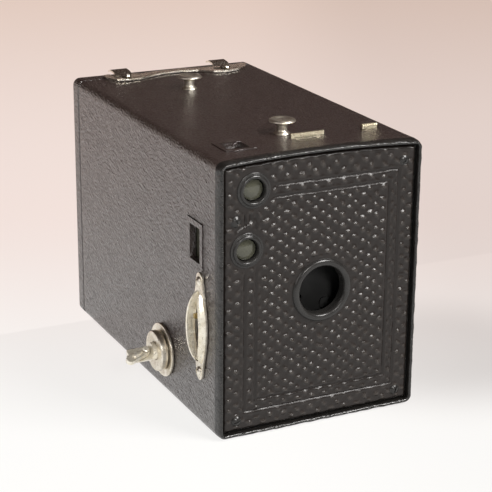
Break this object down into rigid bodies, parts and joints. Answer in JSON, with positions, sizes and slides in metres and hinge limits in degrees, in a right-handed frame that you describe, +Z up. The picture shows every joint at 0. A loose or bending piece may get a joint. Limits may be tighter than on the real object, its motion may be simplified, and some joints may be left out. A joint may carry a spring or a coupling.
{
  "type": "box camera",
  "caption": "Leatherette-covered roll-film box camera with two reflecting finders, rotary shutter, slide stops, folding winding key, latch and a hinged back door.",
  "frame": {"origin": "centre of the box's flat bottom face", "axes": "+Z up, the front with the lens faces -Y, +X to the right of someone facing the front"},
  "size_m": [0.0964, 0.1436, 0.1076],
  "materials": {
    "leatherette": "fine-grained black leatherette, worn at the edges",
    "panel_black": "embossed black leatherette on metal, satin",
    "nickel": "aged nickel plate",
    "brass": "plain brass",
    "steel": "plain steel",
    "black_metal": "matt black lacquer",
    "glass": "clear",
    "mirror": "silvered glass",
    "red_glass": "red filter glass",
    "wood": "turned wood, metal flanges"
  },
  "bodies": {
    "camera_body": {"body_shell": "leatherette", "front_panel": "panel_black", "lens_ring": "panel_black", "finder_ring_upper": "panel_black", "finder_ring_lower": "panel_black", "finder_lens_upper": "glass", "finder_lens_lower": "glass", "panel_screw_upper_right": "nickel", "panel_screw_middle_left": "nickel", "panel_screw_lower_left": "nickel", "panel_screw_lower_right": "nickel", "finder_housing": "black_metal", "finder_mirror_upper": "mirror", "finder_mirror_lower": "mirror", "finder_frame_top": "leatherette", "finder_screen_top": "glass", "finder_frame_side": "leatherette", "finder_screen_side": "glass", "shutter_board": "black_metal", "slide_cover": "black_metal", "disc_pivot": "brass", "lever_pivot": "brass", "shutter_spring": "steel", "lens": "glass", "lens_retainer": "brass", "lever_guard": "nickel", "guard_screw_upper": "nickel", "guard_screw_lower": "nickel", "key_plate": "nickel", "strap_stud_front": "nickel", "strap_stud_rear": "nickel", "latch_rivet_left": "nickel", "latch_rivet_right": "nickel", "hinge_body_leaf": "steel", "hinge_pin": "steel", "film_carrier": "black_metal", "spool_spring_upper": "steel", "spool_spring_lower": "steel", "spool_pin_upper": "steel", "tripod_socket_bottom": "brass", "tripod_socket_side": "brass"},
    "door": {"back_door": "leatherette", "red_window": "red_glass", "red_window_ring": "nickel", "carrier_spring": "steel", "hinge_door_leaf": "steel"},
    "latch": {"latch_bar": "nickel"},
    "aperture_slide": {"aperture_slide": "brass"},
    "time_slide": {"time_slide": "nickel"},
    "shutter_lever": {"shutter_lever": "brass"},
    "shutter_disc": {"shutter_disc": "black_metal"},
    "key_drum": {"key_drum": "nickel", "key_circlip": "steel"},
    "winding_key": {"key_post": "nickel", "key_pin": "nickel"},
    "key_wing": {"key_wing": "nickel"},
    "takeup_spool": {"takeup_spool": "wood"},
    "roller_upper": {"film_roller_upper": "nickel"},
    "roller_lower": {"film_roller_lower": "nickel"}
  },
  "joints": [
    {"name": "door_hinge", "type": "hinge", "parent": "camera_body", "child": "door", "pos_m": [0, 0.064, 0.0011], "axis": [-1, 0, 0], "range_deg": [0, 100]},
    {"name": "latch_slide", "type": "slide", "parent": "camera_body", "child": "latch", "axis": [1, 0, 0], "range_m": [0, 0.004]},
    {"name": "aperture_slide_pull", "type": "slide", "parent": "camera_body", "child": "aperture_slide", "axis": [0, 0, 1], "range_m": [0, 0.015]},
    {"name": "time_slide_pull", "type": "slide", "parent": "camera_body", "child": "time_slide", "axis": [0, 0, 1], "range_m": [0, 0.008]},
    {"name": "shutter_lever_throw", "type": "hinge", "parent": "camera_body", "child": "shutter_lever", "pos_m": [-0.0205, -0.0567, 0.0362], "axis": [0, -1, 0], "range_deg": [0, 34], "deforming": ["shutter_spring"]},
    {"name": "shutter_disc_turn", "type": "hinge", "parent": "camera_body", "child": "shutter_disc", "pos_m": [0.0095, -0.0556, 0.04], "axis": [0, -1, 0], "range_deg": [-68, 0]},
    {"name": "key_turn", "type": "hinge", "parent": "camera_body", "child": "key_drum", "pos_m": [-0.04, -0.0222, 0.0172], "axis": [-1, 0, 0], "continuous": true},
    {"name": "key_pull", "type": "slide", "parent": "key_drum", "child": "winding_key", "axis": [-1, 0, 0], "range_m": [0, 0.008]},
    {"name": "key_wing_fold", "type": "hinge", "parent": "winding_key", "child": "key_wing", "pos_m": [-0.0479, -0.0222, 0.0172], "axis": [0, -0.4384, 0.8988], "range_deg": [-113, 67]},
    {"name": "spool_turn", "type": "hinge", "parent": "camera_body", "child": "takeup_spool", "pos_m": [0, -0.0222, 0.0172], "axis": [-1, 0, 0], "continuous": true},
    {"name": "roller_upper_turn", "type": "hinge", "parent": "camera_body", "child": "roller_upper", "pos_m": [0, 0.0579, 0.0962], "axis": [1, 0, 0], "continuous": true},
    {"name": "roller_lower_turn", "type": "hinge", "parent": "camera_body", "child": "roller_lower", "pos_m": [0, 0.0579, 0.0058], "axis": [1, 0, 0], "continuous": true}
  ],
  "couplings": [
    {"joint": "spool_turn", "follows": "key_turn", "ratio": 1},
    {"joint": "shutter_disc_turn", "follows": "shutter_lever_throw", "ratio": -2}
  ]
}
